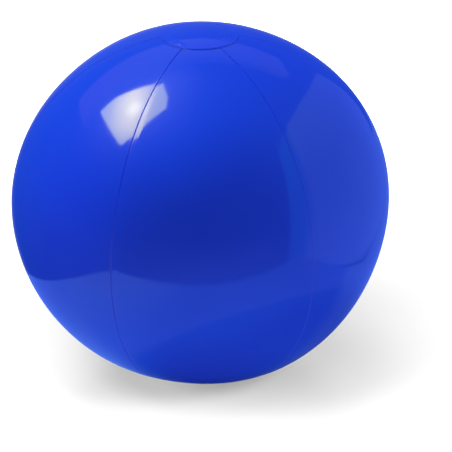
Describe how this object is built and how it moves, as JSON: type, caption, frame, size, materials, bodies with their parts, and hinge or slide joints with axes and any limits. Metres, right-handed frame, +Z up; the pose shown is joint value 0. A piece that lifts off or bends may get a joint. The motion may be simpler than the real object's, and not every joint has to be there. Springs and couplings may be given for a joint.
{
  "type": "beach ball",
  "caption": "Inflated beach ball of blue film panels welded pole to pole, with end discs over the poles and a push-in air valve with stopper and non-return flap.",
  "frame": {"origin": "middle of the flat on the bottom end disc that the ball rests on", "axes": "+Z up through the poles, -Y out of the middle of the front panel, +Y out along the valve in the rear panel"},
  "size_m": [0.2786, 0.2792, 0.2687],
  "materials": {
    "blue_pvc_film": "gloss",
    "soft_pvc": "satin"
  },
  "bodies": {
    "ball": {"panel_front": "blue_pvc_film", "panel_front_right": "blue_pvc_film", "panel_rear_right": "blue_pvc_film", "panel_rear": "blue_pvc_film", "panel_rear_left": "blue_pvc_film", "panel_front_left": "blue_pvc_film", "top_end_disc": "blue_pvc_film", "bottom_end_disc": "blue_pvc_film", "valve_flange": "soft_pvc", "valve_neck": "soft_pvc"},
    "stem": {"valve_stem": "soft_pvc"},
    "stopper": {"valve_stopper": "soft_pvc", "valve_strap": "soft_pvc"},
    "flap": {"valve_flap": "soft_pvc"}
  },
  "joints": [
    {"name": "valve_pop", "type": "slide", "parent": "ball", "child": "stem", "axis": [0, 1, 0], "range_m": [0, 0.014], "deforming": ["valve_neck"]},
    {"name": "stopper_open", "type": "hinge", "parent": "stem", "child": "stopper", "pos_m": [0, 0.13815, 0.14008], "axis": [1, 0, 0], "range_deg": [0, 120], "deforming": ["valve_strap"]},
    {"name": "flap_open", "type": "hinge", "parent": "stem", "child": "flap", "pos_m": [0, 0.1262, 0.13738], "axis": [-1, 0, 0], "range_deg": [0, 60], "stiffness_Nm_per_rad": 0.00005}
  ]
}
